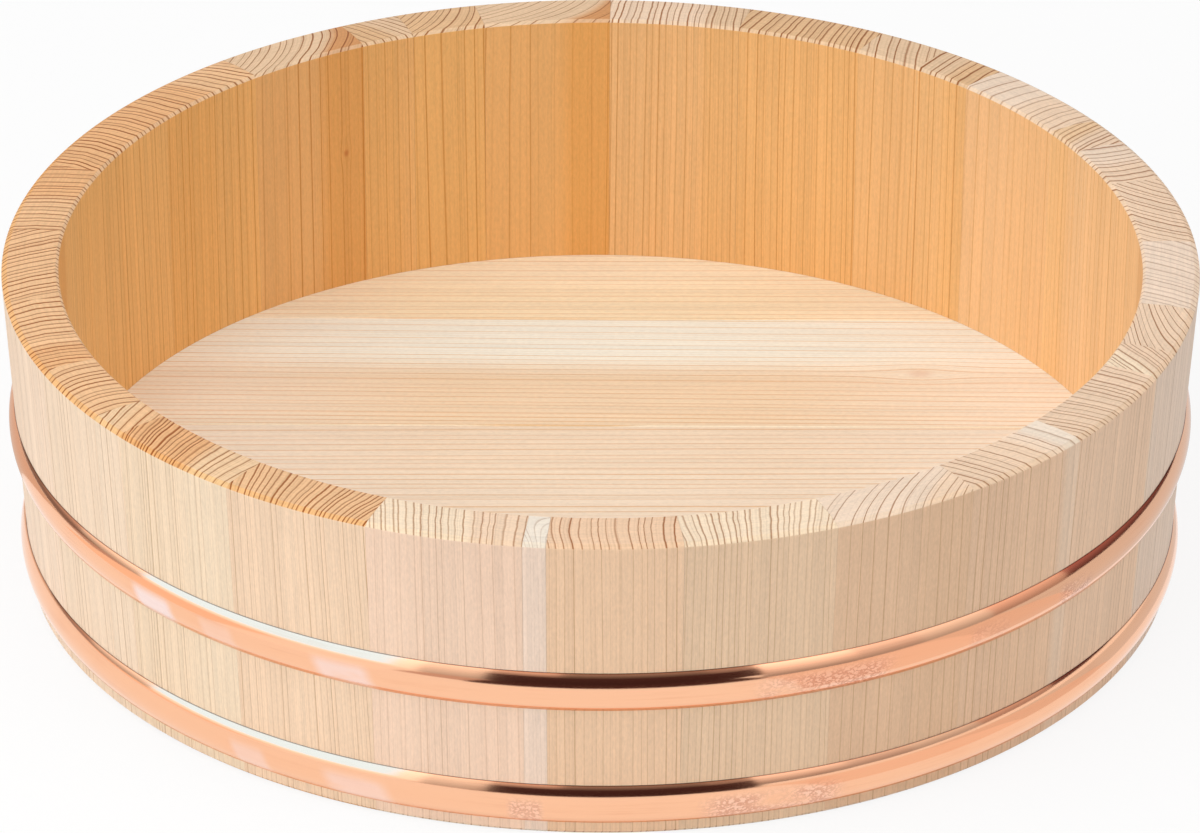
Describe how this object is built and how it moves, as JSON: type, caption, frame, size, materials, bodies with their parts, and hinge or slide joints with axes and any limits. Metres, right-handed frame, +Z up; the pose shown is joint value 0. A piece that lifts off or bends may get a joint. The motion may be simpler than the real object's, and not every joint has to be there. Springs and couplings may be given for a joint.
{
  "type": "sushi rice tub",
  "caption": "Low round wooden tub of edge-to-edge staves with a raised plank floor, held by two copper hoops; used to dress and cool sushi rice.",
  "frame": {"origin": "middle of the ring of stave feet that the tub stands on", "axes": "+Z up along the tub's axis; -Y is the side that faces the viewer in the picture; the floor boards run along X"},
  "size_m": [0.3599, 0.36, 0.1],
  "materials": {
    "stave_wood": "planed and sanded cypress, unfinished",
    "floor_wood": "planed cypress boards, unfinished",
    "bamboo": "split and shaved bamboo",
    "copper": "rolled copper strip, lightly polished"
  },
  "bodies": {
    "root": {"stave_01": "stave_wood", "stave_02": "stave_wood", "stave_03": "stave_wood", "stave_04": "stave_wood", "stave_05": "stave_wood", "stave_06": "stave_wood", "stave_07": "stave_wood", "stave_08": "stave_wood", "stave_09": "stave_wood", "stave_10": "stave_wood", "stave_11": "stave_wood", "stave_12": "stave_wood", "stave_13": "stave_wood", "stave_14": "stave_wood", "stave_15": "stave_wood", "stave_16": "stave_wood", "stave_17": "stave_wood", "stave_18": "stave_wood", "stave_19": "stave_wood", "stave_20": "stave_wood", "stave_21": "stave_wood", "stave_22": "stave_wood", "stave_23": "stave_wood", "stave_24": "stave_wood", "stave_25": "stave_wood", "stave_pin_01": "bamboo", "stave_pin_02": "bamboo", "stave_pin_03": "bamboo", "stave_pin_04": "bamboo", "stave_pin_05": "bamboo", "stave_pin_06": "bamboo", "stave_pin_07": "bamboo", "stave_pin_08": "bamboo", "stave_pin_09": "bamboo", "stave_pin_10": "bamboo", "stave_pin_11": "bamboo", "stave_pin_12": "bamboo", "stave_pin_13": "bamboo", "stave_pin_14": "bamboo", "stave_pin_15": "bamboo", "stave_pin_16": "bamboo", "stave_pin_17": "bamboo", "stave_pin_18": "bamboo", "stave_pin_19": "bamboo", "stave_pin_20": "bamboo", "stave_pin_21": "bamboo", "stave_pin_22": "bamboo", "stave_pin_23": "bamboo", "stave_pin_24": "bamboo", "stave_pin_25": "bamboo", "floor_board_1": "floor_wood", "floor_board_2": "floor_wood", "floor_board_3": "floor_wood", "floor_board_4": "floor_wood", "floor_board_5": "floor_wood", "upper_hoop": "copper", "lower_hoop": "copper"}
  },
  "joints": []
}
